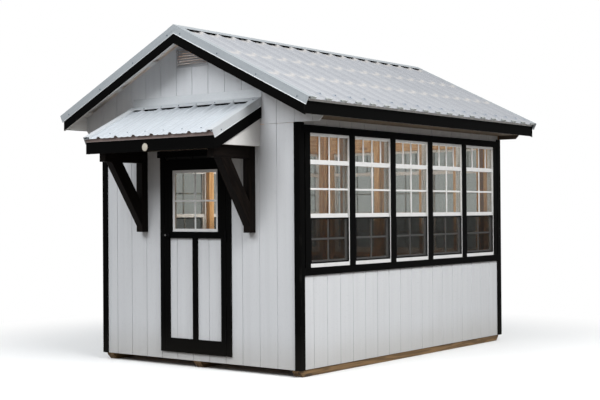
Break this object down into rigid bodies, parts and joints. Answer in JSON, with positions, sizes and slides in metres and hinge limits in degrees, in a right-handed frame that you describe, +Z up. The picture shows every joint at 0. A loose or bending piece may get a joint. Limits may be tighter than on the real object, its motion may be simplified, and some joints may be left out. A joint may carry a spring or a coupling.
{
  "type": "greenhouse storage shed",
  "caption": "Gabled storage shed with grooved siding, ribbed metal roof, a hinged half-glazed door under a bracketed canopy and rows of sliding-sash windows along both sides and the back.",
  "frame": {"origin": "on the ground under the middle of the floor, on the bottom of the middle skid", "axes": "+Z up, +Y from the door wall to the back wall, +X to the right of someone facing the door"},
  "size_m": [3.1268, 4.6447, 3.1975],
  "materials": {
    "siding_paint": "grooved siding panel, light grey paint",
    "black_trim": "near-black satin paint",
    "framing_lumber": "raw construction lumber",
    "treated_timber": "pressure-treated timber",
    "plywood": "raw plywood",
    "white_board": "white paint",
    "stained_timber": "dark brown stain",
    "roof_metal": "light metallic coating",
    "trim_metal": "light metallic coating",
    "screw_metal": "plated",
    "vent_plastic": "moulded",
    "plate_paint": "pale satin paint",
    "vinyl": "white extrusion",
    "clear_glass": "clear float glass",
    "screen_mesh": "dark woven insect screen in a slim rim",
    "hinge_metal": "black satin",
    "handle_metal": "black satin",
    "lock_metal": "bright plate"
  },
  "bodies": {
    "shed": {"siding_ends": "siding_paint", "siding_sides": "siding_paint", "wall_trim": "black_trim", "fascia_boards": "black_trim", "canopy_fascia": "black_trim", "door_casing": "black_trim", "floor_joists": "framing_lumber", "wall_framing": "framing_lumber", "roof_rafters": "framing_lumber", "canopy_frame": "framing_lumber", "skids": "treated_timber", "floor_deck": "plywood", "roof_purlins": "white_board", "soffit_panels": "white_board", "canopy_brackets": "stained_timber", "roof_sheets": "roof_metal", "canopy_sheet": "roof_metal", "roof_flashing": "trim_metal", "canopy_flashing": "trim_metal", "roof_screws": "screw_metal", "gable_vents": "vent_plastic", "fascia_plate": "plate_paint", "window_frames": "vinyl", "window_glass": "clear_glass", "window_screens": "screen_mesh", "hinge_leaves_wall": "hinge_metal"},
    "door": {"door_panel": "siding_paint", "door_frame": "framing_lumber", "door_trim": "black_trim", "door_glass_frame": "vinyl", "door_glass": "clear_glass", "hinge_leaves_door": "hinge_metal"},
    "latch": {"latch_handle": "handle_metal", "lock_cylinder": "lock_metal"},
    "right_window_1": {"sash_right_1": "vinyl", "sash_glass_right_1": "clear_glass"},
    "right_window_2": {"sash_right_2": "vinyl", "sash_glass_right_2": "clear_glass"},
    "right_window_3": {"sash_right_3": "vinyl", "sash_glass_right_3": "clear_glass"},
    "right_window_4": {"sash_right_4": "vinyl", "sash_glass_right_4": "clear_glass"},
    "right_window_5": {"sash_right_5": "vinyl", "sash_glass_right_5": "clear_glass"},
    "left_window_1": {"sash_left_1": "vinyl", "sash_glass_left_1": "clear_glass"},
    "left_window_2": {"sash_left_2": "vinyl", "sash_glass_left_2": "clear_glass"},
    "left_window_3": {"sash_left_3": "vinyl", "sash_glass_left_3": "clear_glass"},
    "left_window_4": {"sash_left_4": "vinyl", "sash_glass_left_4": "clear_glass"},
    "left_window_5": {"sash_left_5": "vinyl", "sash_glass_left_5": "clear_glass"},
    "back_window_1": {"sash_back_1": "vinyl", "sash_glass_back_1": "clear_glass"},
    "back_window_2": {"sash_back_2": "vinyl", "sash_glass_back_2": "clear_glass"},
    "back_window_3": {"sash_back_3": "vinyl", "sash_glass_back_3": "clear_glass"}
  },
  "joints": [
    {"name": "door_hinge", "type": "hinge", "parent": "shed", "child": "door", "pos_m": [0.39, -1.8644, 1.115], "axis": [0, 0, 1], "range_deg": [0, 100]},
    {"name": "latch_turn", "type": "hinge", "parent": "door", "child": "latch", "pos_m": [-0.342, -1.88, 1.244], "axis": [0, 1, 0], "range_deg": [0, 90]},
    {"name": "right_sash_1", "type": "slide", "parent": "shed", "child": "right_window_1", "axis": [0, 0, 1], "range_m": [0, 0.4]},
    {"name": "right_sash_2", "type": "slide", "parent": "shed", "child": "right_window_2", "axis": [0, 0, 1], "range_m": [0, 0.4]},
    {"name": "right_sash_3", "type": "slide", "parent": "shed", "child": "right_window_3", "axis": [0, 0, 1], "range_m": [0, 0.4]},
    {"name": "right_sash_4", "type": "slide", "parent": "shed", "child": "right_window_4", "axis": [0, 0, 1], "range_m": [0, 0.4]},
    {"name": "right_sash_5", "type": "slide", "parent": "shed", "child": "right_window_5", "axis": [0, 0, 1], "range_m": [0, 0.4]},
    {"name": "left_sash_1", "type": "slide", "parent": "shed", "child": "left_window_1", "axis": [0, 0, 1], "range_m": [0, 0.4]},
    {"name": "left_sash_2", "type": "slide", "parent": "shed", "child": "left_window_2", "axis": [0, 0, 1], "range_m": [0, 0.4]},
    {"name": "left_sash_3", "type": "slide", "parent": "shed", "child": "left_window_3", "axis": [0, 0, 1], "range_m": [0, 0.4]},
    {"name": "left_sash_4", "type": "slide", "parent": "shed", "child": "left_window_4", "axis": [0, 0, 1], "range_m": [0, 0.4]},
    {"name": "left_sash_5", "type": "slide", "parent": "shed", "child": "left_window_5", "axis": [0, 0, 1], "range_m": [0, 0.4]},
    {"name": "back_sash_1", "type": "slide", "parent": "shed", "child": "back_window_1", "axis": [0, 0, 1], "range_m": [0, 0.4]},
    {"name": "back_sash_2", "type": "slide", "parent": "shed", "child": "back_window_2", "axis": [0, 0, 1], "range_m": [0, 0.4]},
    {"name": "back_sash_3", "type": "slide", "parent": "shed", "child": "back_window_3", "axis": [0, 0, 1], "range_m": [0, 0.4]}
  ]
}
